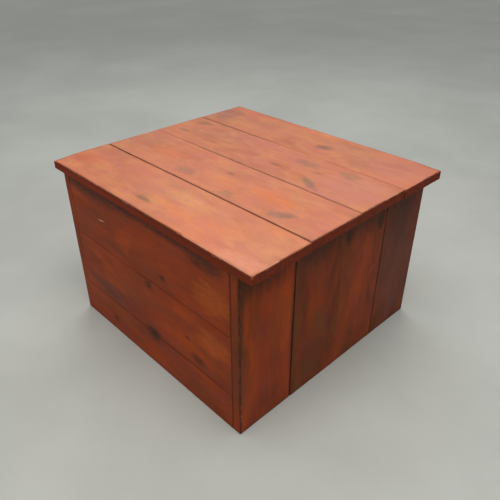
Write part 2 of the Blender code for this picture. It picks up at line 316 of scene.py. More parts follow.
def make_soft_mark_group():
    """A soft-edged oval patch, turned about the board's face."""
    graph, given, result = group_tree(
        "soft_mark",
        (("Point", "Vector"), ("Centre", "Vector"), ("Size", "Vector"), ("Turn", "Float"),
         ("Ragged", "Float")),
        (("Mask", "Float"),),
    )
    away = graph.vector("SUBTRACT", given["Point"], given["Centre"])
    inputs = {"Vector": away, "Angle": given["Turn"]}
    turned = graph.add("VectorRotate", inputs, rotation_type="Z_AXIS").outputs[0]
    flat = graph.vector("MULTIPLY", graph.vector("DIVIDE", turned, given["Size"]), (1.0, 1.0, 0.0))
    cloud = graph.noise(given["Point"], (28.0, 60.0, 10.0), detail=4.0, roughness=0.6)
    ragged = graph.times(graph.minus(cloud, 0.5), given["Ragged"])
    reach = graph.plus(graph.vector("LENGTH", flat), ragged)
    graph.give(result, Mask=graph.ease(reach, 0.35, 1.05, 1.0, 0.0))


def make_edge_group():
    """How far a point on a board is from its nearest arris, and how far inside each pair of faces."""
    graph, given, result = group_tree(
        "board_edges",
        (("Point", "Vector"), ("Half", "Vector")),
        (("Arris", "Float"), ("End", "Float"), ("Side", "Float"), ("Face", "Float")),
    )
    inside = graph.vector("SUBTRACT", given["Half"], graph.vector("ABSOLUTE", given["Point"]))
    parts = graph.parts(inside)
    lower = graph.math("MINIMUM", parts[0], parts[1])
    upper = graph.math("MAXIMUM", parts[0], parts[1])
    middle = graph.math("MAXIMUM", lower, graph.math("MINIMUM", upper, parts[2]))
    graph.give(result, Arris=middle, End=parts[0], Side=parts[1], Face=parts[2])


def new_material(name):
    material = bpy.data.materials.new(name)
    material.use_nodes = True
    shader = material.node_tree.nodes["Principled BSDF"]
    return material, Graph(material.node_tree), shader


def board_texture(graph, board):
    """The wood under the finish: the grain with its knots, and the masks that both finishes use."""
    point = graph.add("TexCoord").outputs["Object"]
    rng = np.random.default_rng(board["seed"])
    moved = point
    wood = {"knot": 0.0, "halo": 0.0, "core": 0.0}
    for x, y, radius, stretch in board["knots"]:
        inputs = {"Point": moved, "Centre": (x, y, 0.0), "Radius": radius, "Stretch": stretch}
        one = graph.group("pine_knot", inputs)
        moved = one["Point"]
        for name, mask in wood.items():
            wood[name] = graph.math("MAXIMUM", mask, one[name.title()])
    shift = Vector(rng.uniform(-TEXTURE_SPREAD, TEXTURE_SPREAD, 3))
    rings = graph.group(
        "pine_rings",
        {
            "Point": graph.vector("ADD", moved, shift),
            "Pith": shift + Vector((0.0, rng.uniform(*PITH_ASIDE), -rng.uniform(*PITH_BELOW))),
            "Slope": (0.0, rng.uniform(*SLOPE_ASIDE), rng.uniform(*SLOPE_UP) * rng.choice((-1, 1))),
            "Spacing": rng.uniform(*RING_SPACING),
        },
    )
    edges = graph.group("board_edges", {"Point": point, "Half": board["half"]})
    wood.update({"point": point, "seeded": graph.vector("ADD", point, shift)})
    wood.update({socket.name.lower(): socket for socket in (*rings, *edges)})
    return wood


def bare_colour(graph, wood):
    """Planed pine, left as it is."""
    tone = graph.noise(wood["seeded"], (1.5, 9.0, 9.0))
    early = graph.mix(graph.ease(tone, 0.3, 0.7), BARE_EARLY, tuple(value * 0.86 for value in BARE_EARLY))
    colour = graph.mix(graph.times(wood["late"], 0.75), early, BARE_LATE)
    colour = graph.mix(graph.ease(wood["fibre"], 0.35, 0.75, 0.0, 0.35), colour, BARE_LATE)
    colour = graph.mix(graph.times(wood["halo"], 0.45), colour, BARE_LATE)
    colour = graph.mix(wood["knot"], colour, tuple(value * 1.7 for value in BARE_KNOT))
    colour = graph.mix(wood["core"], colour, BARE_KNOT)
    handled = graph.noise(wood["seeded"], (14.0, 14.0, 14.0), detail=4.0)
    return graph.mix(graph.ease(handled, 0.50, 0.85, 0.0, 0.30), colour, HANDLED)


def drifting(graph, wood, order, stretch, start, end):
    """A mask of soft patches. Each order gives a pattern of its own."""
    place = graph.vector("ADD", wood["seeded"], (order * 3.7, order * 5.1, order * 2.3))
    cloud = graph.noise(place, stretch, detail=4.0, roughness=0.58, distortion=0.5)
    return graph.ease(cloud, start, end)


def seam_opening(graph, wood, board):
    """1 beside an open seam, falling towards 0 where the board is tight against its neighbour."""
    opening = 1.0
    if board["tight"]:
        parts = graph.parts(wood["point"])
        for side, start, end in board["tight"]:
            on_half = graph.ease(graph.times(parts[1], float(side)), 0.0, 0.01)
            closed = graph.times(graph.ease(parts[0], start, end, 0.0, 0.88), on_half)
            opening = graph.times(opening, graph.minus(1.0, closed))
    return opening


def stained_colour(graph, wood, board):
    """The stain, with its streaks, tints, marks, dark edges and worn arrises, and where it is dull; some
    marks are painted shade or painted sheen.
    """
    stain = board["stain"]
    patches = graph.noise(wood["seeded"], (3.6, 11.0, 11.0), detail=4.0, roughness=0.55, distortion=0.6)
    value = graph.math("MULTIPLY_ADD", patches, 1.5, -0.20 + board["tone"])
    for name, middle, share in (("streak", 0.5, 0.28), ("late", 0.3, 0.16), ("fibre", 0.5, 0.42)):
        value = graph.plus(value, graph.times(graph.minus(wood[name], middle), share))
    colour = graph.ramp(value, stain["tones"])
    for order, tint in enumerate(("orange", "plum", "olive"), 1):
        mask = drifting(graph, wood, order, (4.2, 13.0, 13.0), 0.46, 0.68)
        colour = graph.mix(graph.times(mask, board[tint]), colour, stain[tint])
    for order, tint in enumerate(("tan", "rose"), 5):
        mask = drifting(graph, wood, order, (13.0, 24.0, 24.0), 0.36, 0.74)
        colour = graph.mix(graph.times(mask, board["mottle"]), colour, stain[tint])
    specks = drifting(graph, wood, 8, (46.0, 80.0, 80.0), 0.60, 0.72)
    colour = graph.mix(graph.times(specks, board["specks"]), colour, stain["olive"])
    broken = graph.noise(wood["seeded"], (55.0, 170.0, 60.0), detail=3.0, roughness=0.6)
    broken = graph.ease(broken, 0.36, 0.60, 0.62, 1.06)
    on_show_face = graph.times(broken, graph.ease(wood["face"], 0.001, 0.005, 1.0, 0.15))
    for x, y, long, wide, turn, tint, strength in board["marks_and_painted_light"]:
        inputs = {"Point": wood["point"], "Centre": (x, y, 0.0), "Size": (long, wide, 1.0)}
        inputs["Turn"] = math.radians(turn)
        inputs["Ragged"] = 1.1 * min(1.0, 1.6 * min(wide, long) / max(wide, long))
        mask = graph.group("soft_mark", inputs)["Mask"]
        mask = graph.times(mask, on_show_face)
        colour = graph.mix(graph.times(mask, strength), colour, tint)
    colour = graph.mix(graph.times(wood["halo"], 0.28), colour, stain["seam"])
    colour = graph.mix(graph.times(wood["knot"], 0.60), colour, stain["knot"])
    colour = graph.mix(graph.times(wood["core"], 0.85), colour, stain["knot"])
    chipped = graph.noise(wood["seeded"], (42.0, 42.0, 12.0), detail=3.0, roughness=0.6)
    chipped = graph.ease(chipped, 0.48, 0.72, 0.0, board["chipped_line"])
    depth = graph.minus(board["half"][2], graph.parts(wood["point"])[2])
    below_face = graph.ease(graph.minus(depth, chipped), 0.0012, 0.0030)
    near_side = graph.math("MINIMUM", wood["end"], wood["side"])
    on_side = graph.times(below_face, graph.ease(near_side, 0.0030, 0.0065, 1.0, 0.0))
    end_grain = graph.ease(wood["end"], 0.0, 0.0030, 1.0, 0.0)
    streaks = graph.ease(wood["streak"], 0.25, 0.75, 0.0, 0.6)
    grain = graph.math("MULTIPLY_ADD", wood["late"], 0.5, streaks)
    edge_tones = [tuple(value * share for value in stain["edge"]) for share in EDGE_SHADES]
    edge_value = graph.minus(0.95, graph.plus(grain, graph.times(end_grain, 0.25)))
    edge_colour = graph.ramp(edge_value, edge_tones)
    colour = graph.mix(graph.times(on_side, board["edge"]), colour, edge_colour)
    pooled = graph.noise(wood["seeded"], (22.0, 60.0, 60.0), detail=3.0)
    reach = graph.minus(near_side, graph.times(pooled, board["pool"]))
    seam = graph.ease(reach, -0.0020, 0.0024, board["seam"], 0.0)
    seam = graph.times(seam, seam_opening(graph, wood, board))
    seam = graph.times(seam, graph.math("MULTIPLY_ADD", below_face, -0.85, 1.0))
    colour = graph.mix(seam, colour, stain["seam"])
    rubbed = graph.noise(wood["seeded"], (30.0, 90.0, 90.0), detail=4.0, roughness=0.6)
    edge = graph.plus(wood["arris"], graph.times(graph.minus(0.5, rubbed), WEAR_NOISE))
    if board["rubbed"]:
        start, end, radius = board["rubbed"]
        parts = graph.parts(wood["point"])
        here = graph.ease(parts[0], start - 0.01, start + 0.01)
        here = graph.times(here, graph.ease(parts[0], end, end + 0.01, 1.0, 0.0))
        here = graph.times(here, graph.ease(parts[1], -0.02, 0.0, 1.0, 0.0))
        here = graph.times(here, graph.ease(parts[2], 0.0, 0.004))
        edge = graph.minus(edge, graph.times(here, radius))
    worn = graph.ease(edge, -0.0010, 0.0014, board["wear"], 0.0)
    worn = graph.times(worn, graph.ease(depth, 0.006, 0.011, 1.0, board["wear_below"]))
    dull = graph.math("MAXIMUM", worn, graph.times(on_side, board["edge"]))
    return graph.mix(worn, colour, stain["worn"]), dull


def finish_surface(graph, shader, wood, colour, roughness, grain_depth):
    """Colour, gloss and the relief of the grain."""
    graph.link(colour, shader.inputs["Base Color"])
    graph.link(roughness, shader.inputs["Roughness"])
    relief = graph.plus(graph.times(wood["fibre"], 0.55), graph.times(wood["late"], 0.45))
    relief = graph.plus(relief, graph.times(wood["core"], -0.8))
    bump = graph.add("Bump", {"Strength": 1.0, "Distance": grain_depth, "Height": relief})
    graph.link(bump.outputs[0], shader.inputs["Normal"])


def stained_material(name, board):
    """Stain and satin varnish outside, bare pine inside, with the stain run over the inner edges."""
    material, graph, shader = new_material(name)
    wood = board_texture(graph, board)
    outside, dull = stained_colour(graph, wood, board)
    inside = bare_colour(graph, wood)
    height = graph.parts(wood["point"])[2]
    run_over = graph.noise(wood["seeded"], (40.0, 40.0, 40.0), detail=3.0)
    run_over = graph.times(run_over, RUN_OVER)
    border = wood["side"]
    if board["bare_span"]:
        along = graph.math("ABSOLUTE", graph.parts(wood["point"])[0])
        border = graph.math("MINIMUM", border, graph.minus(board["bare_span"], along))
    border = graph.minus(border, run_over)
    back = -board["half"][2]
    under = graph.ease(height, back + 0.0012, back + 0.0030, 1.0, 0.0)
    bare = graph.times(under, graph.ease(border, -0.004, 0.001))
    colour = graph.mix(bare, outside, inside)
    mottle = graph.noise(wood["seeded"], (12.0, 30.0, 30.0), detail=4.0, roughness=0.6)
    gloss = graph.plus(board["stain"]["roughness"] - 0.10, graph.times(mottle, 0.22))
    gloss = graph.plus(gloss, graph.times(dull, 0.40))
    gloss = graph.plus(gloss, graph.times(wood["fibre"], 0.06))
    roughness = graph.mix_value(bare, gloss, BARE_ROUGHNESS)
    shader.inputs["Specular IOR Level"].default_value = board["stain"]["specular"]
    finish_surface(graph, shader, wood, colour, roughness, STAINED_RELIEF)
    return material


def bare_material(name, board):
    material, graph, shader = new_material(name)
    wood = board_texture(graph, board)
    colour = bare_colour(graph, wood)
    dusty = graph.ease(graph.noise(wood["seeded"], (20.0, 20.0, 20.0), detail=4.0), 0.3, 0.8, 0.62, 0.82)
    finish_surface(graph, shader, wood, colour, dusty, BARE_RELIEF)
    return material


# ---- board meshes


def axis_steps(half, spacing):
    """Places along one axis of a board: close together over its arrises, else about spacing apart."""
    steps = [step for step in ARRIS_STEPS if step < half * 0.45]
    inner = half - steps[-1]
    count = max(1, round(2 * inner / spacing))
    middle = np.linspace(-inner, inner, count + 1)
    low = [-half + step for step in steps[:-1]]
    return np.array([*low, *middle, *[-value for value in reversed(low)]])


def box_lattice(half):
    """The surface of a box as a quad lattice: an array of points, and faces that point outwards."""
    spacings = (SPACING_ALONG, SPACING_ACROSS, SPACING_ACROSS)
    steps = [axis_steps(side, spacing) for side, spacing in zip(half, spacings)]
    counts = [len(axis) - 1 for axis in steps]
    numbers = {}
    points = []

    def number(key):
        if key not in numbers:
            numbers[key] = len(points)
            points.append([steps[axis][key[axis]] for axis in range(3)])
        return numbers[key]

    faces = []
    for axis in range(3):
        first, second = (axis + 1) % 3, (axis + 2) % 3
        for level in (0, counts[axis]):
            for i in range(counts[first]):
                for j in range(counts[second]):
                    corners = []
                    for a, b in ((i, j), (i + 1, j), (i + 1, j + 1), (i, j + 1)):
                        key = [0, 0, 0]
                        key[axis], key[first], key[second] = level, a, b
                        corners.append(number(tuple(key)))
                    faces.append(corners if level else corners[::-1])
    return np.array(points), faces


def noise_at(point, stretch, seed):
    """Smooth noise from -1 to 1, drawn out along the axes where stretch is small."""
    x, y, z = (value * scale for value, scale in zip(point, stretch))
    return noise.noise(Vector((x + seed, y - seed, z + 2 * seed)))


def arris_radius(point, board):
    """How far the arris is rounded off at this place: planed, then rubbed and knocked here and there."""
    seed = board["seed"] * 0.001
    radius = ARRIS_RADIUS + ARRIS_RIPPLE * noise_at(point, (14, 14, 14), seed)
    knocks = noise_at(point, (38, 38, 38), seed + 7.3) - 0.25
    radius += board["knocks"] * max(0.0, knocks)
    for x, reach, depth in board["chips"]:
        gap = math.dist(point, (x, *CHIPPED_ARRIS)) / reach
        if gap < 1:
            ragged = 0.6 + 0.4 * noise_at(point, (240, 240, 240), seed + 3.1)
            radius += depth * ragged * (1 - gap * gap)
    if board["rubbed"]:
        start, end, extra = board["rubbed"]
        if start < point[0] < end and point[1] < 0 < point[2]:
            radius += extra * (0.75 + 0.5 * noise_at(point, (90, 90, 90), seed + 5.9))
    if board["tight_ends"] and abs(point[0]) > board["half"][0] - ARRIS_STEPS[-1]:
        radius *= TIGHT_END_SHARE
    for side, start, end in board["tight"]:
        if point[1] * side > 0:
            share = min(1.0, max(0.0, (point[0] - start) / (end - start)))
            radius *= 1 - TIGHT_SIDE_LOSS * share
    return max(LEAST_RADIUS, radius)


def surface_depth(point, normal, board):
    """How far the surface lies below the board's nominal face: planing ripple, cupping and knots."""
    seed = board["seed"] * 0.001
    depth = PLANING_DEPTH * (0.5 + 0.5 * noise_at(point, (5, 40, 40), seed + 1.7))
    if abs(normal[2]) > 0.7:
        across = point[1] / board["half"][1]
        depth += board["cup"] * (1 - across * across)
        for x, y, radius, stretch in board["knots"]:
            gap = math.hypot((point[0] - x) / stretch, point[1] - y) / radius
            depth += KNOT_GROOVE * math.exp(-((gap - 1.0) ** 2) * 3.0)
    return depth


def shaped_points(points, board):
    """The lattice's points moved onto a board with worn arrises and a surface that isn't quite flat."""
    half = np.array(board["half"])
    shaped = np.empty_like(points)
    for index, point in enumerate(points):
        radius = arris_radius(point, board)
        inner = np.clip(point, -(half - radius), half - radius)
        away = point - inner
        length = math.sqrt(away @ away)
        normal = away / length if length > 1e-9 else np.array((0.0, 0.0, 1.0))
        shaped[index] = inner + normal * (radius - surface_depth(point, normal, board))
    for x, y, reach, sink in board["slumps"]:
        gap = np.hypot(shaped[:, 0] - x, shaped[:, 1] - y) / reach
        height = (shaped[:, 2] + half[2]) / (2 * half[2])
        shaped[:, 2] -= sink * height * np.exp(-gap * gap)
    lean = board["taper"]
    if lean:
        share = (half[0] - shaped[:, 0]) / (2 * half[0]) * (shaped[:, 1] + half[1]) / (2 * half[1])
        shaped[:, 1] -= lean * share
    return shaped


def new_object(name, data):
    made = bpy.data.objects.new(name, data)
    bpy.context.scene.collection.objects.link(made)
    return made


def board_matrix(facing, centre):
    matrix = Matrix.Identity(4)
    for column, direction in enumerate(FACINGS[facing]):
        for row in range(3):
            matrix[row][column] = direction[row]
    matrix.translation = centre
    return matrix


def smooth_mesh(name, points, faces):
    mesh = bpy.data.meshes.new(name)
    mesh.from_pydata([tuple(point) for point in points], [], faces)
    mesh.shade_smooth()
    mesh.update()
    return mesh


def cut_notches(piece, notches):
    """Takes boxes out of a piece's mesh. Each notch is two opposite corners, in the world."""
    for low, high in notches:
        shape = bmesh.new()
        bmesh.ops.create_cube(shape, size=1.0)
        middle = (low + high) / 2
        for vert in shape.verts:
            vert.co = Vector([middle[axis] + vert.co[axis] * (high - low)[axis] for axis in range(3)])
        mesh = bpy.data.meshes.new("notch")
        shape.to_mesh(mesh)
        shape.free()
        cutter = new_object("notch", mesh)
        boolean = piece.modifiers.new("notch", "BOOLEAN")
        boolean.operation = "DIFFERENCE"
        boolean.object = cutter
        bpy.context.view_layer.update()
        cut = bpy.data.meshes.new_from_object(piece.evaluated_get(bpy.context.evaluated_depsgraph_get()))
        piece.modifiers.clear()
        piece.data = cut
        bpy.data.objects.remove(cutter)


def add_board(node, body, facing, look):
    """A detailed board in the place of one CAD node. Its look overrides BOARD_LOOK."""
    low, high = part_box(node)
    size = high - low
    half = tuple(abs(size.dot(direction)) / 2 for direction in FACINGS[facing])
    seed = int(sum(map(ord, node)) * 0.137 % 50 * 1000)
    board = BOARD_LOOK | look | {"half": half, "seed": seed}
    points, faces = box_lattice(half)
    mesh = smooth_mesh(node + "_piece", shaped_points(points, board), faces)
    piece = new_object(node + "_piece", mesh)
    piece.matrix_world = board_matrix(facing, (low + high) / 2)
    make = stained_material if board["stain"] else bare_material
    mesh.materials.append(make(node + "_pine", board))
    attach(piece, body)
    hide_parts(node)
    return piece


# ---- the object

GREEN = (0.13, 0.09, 0.05)
MAUVE = (0.19, 0.085, 0.07)
BROWN = (0.05, 0.022, 0.012)
ORANGE = (0.56, 0.12, 0.018)
SCRATCH = (0.62, 0.33, 0.21)
# Painted sheen: a pale pink patch at the right end of the lid's two back boards, standing for the glossy
# top's reflection there.
PAINTED_PINK_SHEEN = (0.45, 0.16, 0.13)

# What a board looks like where nothing else is said. In the board's own coordinates, each entry holds:
# knots: x, y, radius, stretch along the grain. marks_and_painted_light: stains, grime, scratches, painted
# shade and painted sheen, each x, y, half length, half width, turn in degrees, colour, strength. slumps:
# x, y, reach, how far a corner
# hangs. tight: a side whose seam closes up, where it is open, where it is tight. On the front upper
# arris, chips:
# x, reach, depth, and rubbed: start, end, extra radius.
BOARD_LOOK = dict(
    stain=None, tone=0.0, orange=0.5, plum=0.4, olive=0.4, mottle=0.35, specks=0.45, knots=(), marks_and_painted_light=(),
    seam=0.75, pool=0.006, edge=0.0, wear=0.55, wear_below=1.0, chipped_line=0.0, bare_span=0.0,
    tight=(), tight_ends=False, rubbed=(), knocks=0.0012, chips=(), slumps=(), cup=0.0, taper=0.0,
)
LID_LOOK = dict(
    stain=LID_STAIN_AND_PAINTED_SHEEN, plum=0.5, olive=0.35, mottle=0.5, specks=0.4, seam=0.6, edge=0.94,
    wear=0.6, wear_below=0.12, chipped_line=0.0025, bare_span=0.372, cup=0.0003,
)
LID_BOARD_LOOKS = (
    dict(
        tone=0.06, orange=0.7, knots=((-0.028, -0.052, 0.005, 3.2),),
        marks_and_painted_light=(
            (-0.36, -0.01, 0.08, 0.05, 0, (0.48, 0.08, 0.026), 0.5),
            (-0.015, -0.048, 0.04, 0.009, 8, GREEN, 0.45),
            (0.06, 0.03, 0.12, 0.035, 0, (0.62, 0.26, 0.1), 0.45),
            (0.39, -0.075, 0.1, 0.045, 0, (0.62, 0.27, 0.18), 0.35),
        ),
        chips=(
            (0.427, 0.04, 0.0062), (0.345, 0.022, 0.0046), (0.292, 0.012, 0.004), (0.24, 0.018, 0.0052),
            (0.175, 0.022, 0.0036), (0.11, 0.012, 0.003), (-0.06, 0.01, 0.0026), (-0.3, 0.014, 0.003),
        ),
        slumps=((-0.427, -0.094, 0.055, 0.005),), rubbed=(0.19, 0.44, 0.003), chipped_line=0.0055,
        knocks=0.0024,
    ),
    dict(
        tone=0.02, knots=((0.023, 0.025, 0.004, 1.9),),
        marks_and_painted_light=(
            (0.22, 0.0, 0.1, 0.045, 0, ORANGE, 0.4), (-0.22, 0.0, 0.09, 0.04, 0, ORANGE, 0.4),
            (0.29, -0.053, 0.055, 0.024, -28, MAUVE, 0.62), (0.3, -0.058, 0.03, 0.012, -28, GREEN, 0.35),
            (0.11, -0.068, 0.034, 0.02, 0, GREEN, 0.45), (-0.085, -0.053, 0.05, 0.026, 0, MAUVE, 0.45),
        ),
        tight=((1, -0.12, -0.38),),
    ),
    dict(
        tone=-0.08, orange=0.35, plum=0.75, knots=((0.067, -0.028, 0.005, 2.6),),
        marks_and_painted_light=(
            (-0.355, -0.034, 0.03, 0.014, 0, GREEN, 0.55), (0.195, 0.011, 0.022, 0.008, -10, MAUVE, 0.55),
            (0.215, -0.056, 0.058, 0.018, 28, GREEN, 0.7), (0.135, 0.044, 0.06, 0.03, 0, MAUVE, 0.5),
            # painted sheen at the right end: pink patch standing for the top's reflection
            (0.34, 0.0, 0.16, 0.12, 0, PAINTED_PINK_SHEEN, 0.45), (-0.363, 0.062, 0.04, 0.02, 0, GREEN, 0.6),
            (0.275, 0.06, 0.045, 0.03, 0, GREEN, 0.4),
        ),
        tight=((-1, -0.12, -0.38), (1, -0.16, 0.02)),
    ),
    dict(
        tone=-0.03, knots=((0.072, -0.012, 0.006, 2.2),),
        marks_and_painted_light=(
            # painted sheen at the right end: pink patch standing for the top's reflection
            (0.34, 0.0, 0.16, 0.12, 0, PAINTED_PINK_SHEEN, 0.4), (0.08, -0.012, 0.048, 0.026, -20, MAUVE, 0.65),
            (-0.38, 0.0, 0.07, 0.08, 0, MAUVE, 0.45),
        ),
        tight=((-1, -0.16, 0.02),), slumps=((0.424, 0.093, 0.05, 0.003),),
    ),
)

WALL_LOOK = dict(stain=WALL_STAIN, wear=0.35, cup=0.0003)
# Painted shade: a broad dark brown band over the top of each side wall, under the lid's overhang.
PAINTED_SHADE_UNDER_LID = ((0.245, 0.0, 0.095, 0.24, 0, BROWN, 0.72),)
RIGHT_WALL_LOOKS = (
    dict(
        tone=-0.02, knocks=0.0022, wear=0.75,
        marks_and_painted_light=(
            (0.15, 0.096, 0.22, 0.026, 0, BROWN, 0.8), (-0.1, 0.098, 0.3, 0.018, 0, BROWN, 0.55),
            (0.0, -0.093, 0.3, 0.012, 0, BROWN, 0.55), (-0.22, 0.0, 0.1, 0.1, 0, BROWN, 0.22),
            (-0.185, 0.089, 0.004, 0.0022, 0, SCRATCH, 0.75),
            (-0.205, 0.083, 0.003, 0.002, 0, SCRATCH, 0.65),
            (-0.152, 0.09, 0.005, 0.0018, 0, SCRATCH, 0.55),
            (-0.222, 0.078, 0.003, 0.0022, 0, SCRATCH, 0.6),
        ),
    ),
    dict(
        tone=-0.48, olive=0.85, orange=0.1, mottle=0.15,
        marks_and_painted_light=((-0.16, -0.02, 0.1, 0.07, 0, BROWN, 0.3),),
        taper=0.0028, tight=((-1, -0.3, -0.29),),
    ),
    dict(
        tone=-0.32, olive=0.45, orange=0.3,
        knots=((0.19, 0.078, 0.009, 1.8), (0.182, -0.066, 0.01, 1.6)),
        marks_and_painted_light=(
            (0.185, -0.072, 0.045, 0.018, 0, BROWN, 0.6), (0.188, 0.08, 0.035, 0.014, 0, BROWN, 0.6),
            (0.06, -0.095, 0.15, 0.006, 0, BROWN, 0.9),
        ),
        tight=((1, -0.3, -0.29),),
    ),
    dict(
        tone=-0.44, plum=0.9, orange=0.05, mottle=0.15,
        marks_and_painted_light=(
            (0.0, 0.0, 0.3, 0.12, 0, (0.13, 0.046, 0.036), 0.55), (0.14, 0.0, 0.12, 0.1, 0, BROWN, 0.45),
            (0.06, 0.095, 0.15, 0.006, 0, BROWN, 0.9),
        ),
    ),
)
LEFT_WALL_LOOKS = (
    dict(knots=((-0.14, -0.05, 0.008, 1.9),), marks_and_painted_light=((-0.13, -0.05, 0.05, 0.02, 0, BROWN, 0.4),)),
    dict(tone=-0.2, olive=0.7, taper=-0.0028, knots=((0.08, 0.04, 0.005, 2.4),),
         marks_and_painted_light=((-0.1, 0.02, 0.1, 0.04, 0, BROWN, 0.35),)),
    dict(tone=-0.04, knots=((0.16, -0.02, 0.011, 1.3), (-0.2, 0.05, 0.005, 1.8))),
    dict(tone=-0.24, plum=0.8, knots=((0.02, 0.03, 0.006, 2.0),),
         marks_and_painted_light=((0.05, 0.0, 0.16, 0.07, 0, BROWN, 0.3),)),
)
CROSS_WALL_LOOKS = {
    "front_board_top": dict(
        tone=0.04, orange=0.7, knots=((0.09, -0.055, 0.006, 1.6),),
        marks_and_painted_light=(
            (-0.194, 0.003, 0.024, 0.0035, -8, SCRATCH, 0.95),
            (-0.275, 0.002, 0.085, 0.0014, -2, SCRATCH, 0.16),
            (0.29, -0.02, 0.09, 0.06, 0, ORANGE, 0.5), (0.27, 0.07, 0.085, 0.026, 0, BROWN, 0.7),
            # partly grime and partly painted shade: two dark brown bands along the top edge, just under
            # the lid's front edge
            (-0.24, 0.09, 0.25, 0.042, 0, BROWN, 0.78), (0.1, 0.094, 0.32, 0.03, 0, BROWN, 0.75),
        ),
        seam=0.3,
    ),
    "front_board_middle": dict(
        tone=0.02, orange=0.7, knots=((0.019, 0.078, 0.009, 1.3), (0.18, -0.01, 0.004, 1.5)),
        marks_and_painted_light=(
            (-0.2, -0.055, 0.15, 0.04, 0, (0.12, 0.042, 0.032), 0.6),
            (0.02, -0.085, 0.05, 0.014, 0, BROWN, 0.85), (0.22, -0.062, 0.045, 0.02, 0, BROWN, 0.65),
            (0.29, 0.03, 0.08, 0.05, 0, ORANGE, 0.5), (0.02, -0.094, 0.3, 0.0035, 0, BROWN, 0.9),
        ),
        seam=0.3, pool=0.003, tight_ends=True,
    ),
    "front_board_bottom": dict(
        tone=-0.05, knots=((0.02, 0.052, 0.012, 1.6), (-0.2, -0.01, 0.006, 1.5)), seam=0.35, pool=0.003,
        tight_ends=True,
    ),
    "back_board_top": dict(
        tone=-0.06, knots=((0.16, 0.02, 0.007, 2.2), (-0.22, -0.04, 0.0045, 1.5)),
        marks_and_painted_light=(
            (0.17, 0.02, 0.05, 0.022, 0, BROWN, 0.5), (-0.05, 0.092, 0.3, 0.026, 0, BROWN, 0.6),
            (-0.26, -0.01, 0.1, 0.05, 0, ORANGE, 0.35),
        ),
    ),
    "back_board_middle": dict(
        knots=((-0.05, 0.03, 0.012, 1.3), (0.27, -0.03, 0.005, 2.0)),
        marks_and_painted_light=((0.14, -0.07, 0.16, 0.03, 0, BROWN, 0.45), (-0.28, 0.01, 0.08, 0.05, 0, BROWN, 0.3)),
    ),
    "back_board_bottom": dict(
        tone=-0.1, knots=((0.1, 0.0, 0.006, 2.4),),
        marks_and_painted_light=((-0.16, -0.03, 0.14, 0.03, 0, BROWN, 0.35),),
    ),
}


def add_lid_boards():
    for number, look in enumerate(LID_BOARD_LOOKS, 1):
        add_board(f"lid_board_{number}", "lid", "up", LID_LOOK | look)


def add_walls():
    for side, looks in (("right", RIGHT_WALL_LOOKS), ("left", LEFT_WALL_LOOKS)):
        for number, look in enumerate(looks, 1):
            # each side wall also takes the painted shade under the lid's overhang
            marks_and_painted_light = look.get("marks_and_painted_light", ()) + PAINTED_SHADE_UNDER_LID
            look = WALL_LOOK | look | {"marks_and_painted_light": marks_and_painted_light}
            add_board(f"{side}_side_board_{number}", "box", side, look)
    for node, look in CROSS_WALL_LOOKS.items():
        add_board(node, "box", node.split("_")[0], WALL_LOOK | look)


def notches_of(node):
    """Where the corner posts stand in a floor board's box, with a little room around them."""
    room = Vector(NOTCH_ROOM)
    low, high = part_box(node)
    found = []
    for end in ENDS:
        for side in SIDES:
            post_low, post_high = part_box(f"corner_post_{end}_{side}")
            meets_x = post_low.x < high.x and post_high.x > low.x
            meets_y = post_low.y < high.y and post_high.y > low.y
            if meets_x and meets_y:
                found.append((post_low - room, post_high + room))
    return found


def add_frame_wood():
    """The bare wood inside: the corner posts, rails, battens and floor boards."""
    rng = np.random.default_rng(11)

    def knotty(half_long, half_wide, count):
        spans = ((-half_long, half_long), (-half_wide, half_wide), KNOT_RADII, KNOT_STRETCHES)
        return {"knots": [[rng.uniform(*span) for span in spans] for _ in range(count)]}

    for end in ENDS:
        for side, facing in (("left", "right"), ("right", "left")):
            add_board(f"corner_post_{end}_{side}", "box", facing, knotty(0.2, 0.012, 2))
    for side in SIDES:
        for level in ("top", "bottom"):
            look = knotty(0.28, 0.015, 2)
            add_board(f"{side}_{level}_rail", "box", f"rail_{side}", look)
        add_board(f"lid_batten_{side}", "lid", "down", knotty(0.25, 0.025, 2))
    for number in range(1, 5):
        node = f"floor_board_{number}"
        piece = add_board(node, "box", "up", knotty(0.3, 0.05, 3))
        notches = notches_of(node)
        if notches:
            cut_notches(piece, notches)


# ---- metal


def steel_material(name, colour, roughness, tarnish):
    """Metal with a brushed look and dull spots."""
    material, graph, shader = new_material(name)
    point = graph.add("TexCoord").outputs["Object"]
    brushed = graph.noise(point, (90.0, 900.0, 900.0), detail=3.0)
    spots = graph.noise(point, (160.0, 160.0, 160.0), detail=5.0, roughness=0.65)
    dull = graph.ease(spots, 0.50, 0.72)
    base = graph.mix(graph.ease(brushed, 0.3, 0.7), colour, tuple(value * 0.82 for value in colour))
    graph.link(graph.mix(graph.times(dull, 0.6), base, tarnish), shader.inputs["Base Color"])
    shader.inputs["Metallic"].default_value = 1.0
    gloss = graph.plus(roughness, graph.times(dull, 0.25))
    graph.link(gloss, shader.inputs["Roughness"])
    bump = graph.add("Bump", {"Strength": 0.6, "Distance": 0.00008, "Height": brushed})
    graph.link(bump.outputs[0], shader.inputs["Normal"])
    return material


def finish_hinges():
    steel = steel_material("hinge_steel_look", (0.50, 0.48, 0.45), 0.34, (0.20, 0.13, 0.09))
    for name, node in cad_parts.items():
        if name.endswith(("_leaf", "_pin")):
            node.data.materials.clear()
            node.data.materials.append(steel)


def head_height(radius, x, y):
    """The top of a countersunk screw: a slightly crowned disc with a tapering cross sunk into it."""
    crown = HEAD_CROWN * (1 - (x * x + y * y) / (radius * radius))
    arm, width, depth = (radius * share for share in CROSS_SHARES)
    sunk = 0.0
    for along, across in ((x, y), (y, x)):
        inside = min(1.0, max(0.0, (arm - abs(along)) / (radius * 0.22)))
        inside *= min(1.0, max(0.0, (width - abs(across)) / (radius * 0.05) + 0.5))
        sunk = max(sunk, inside)
    return crown - depth * sunk


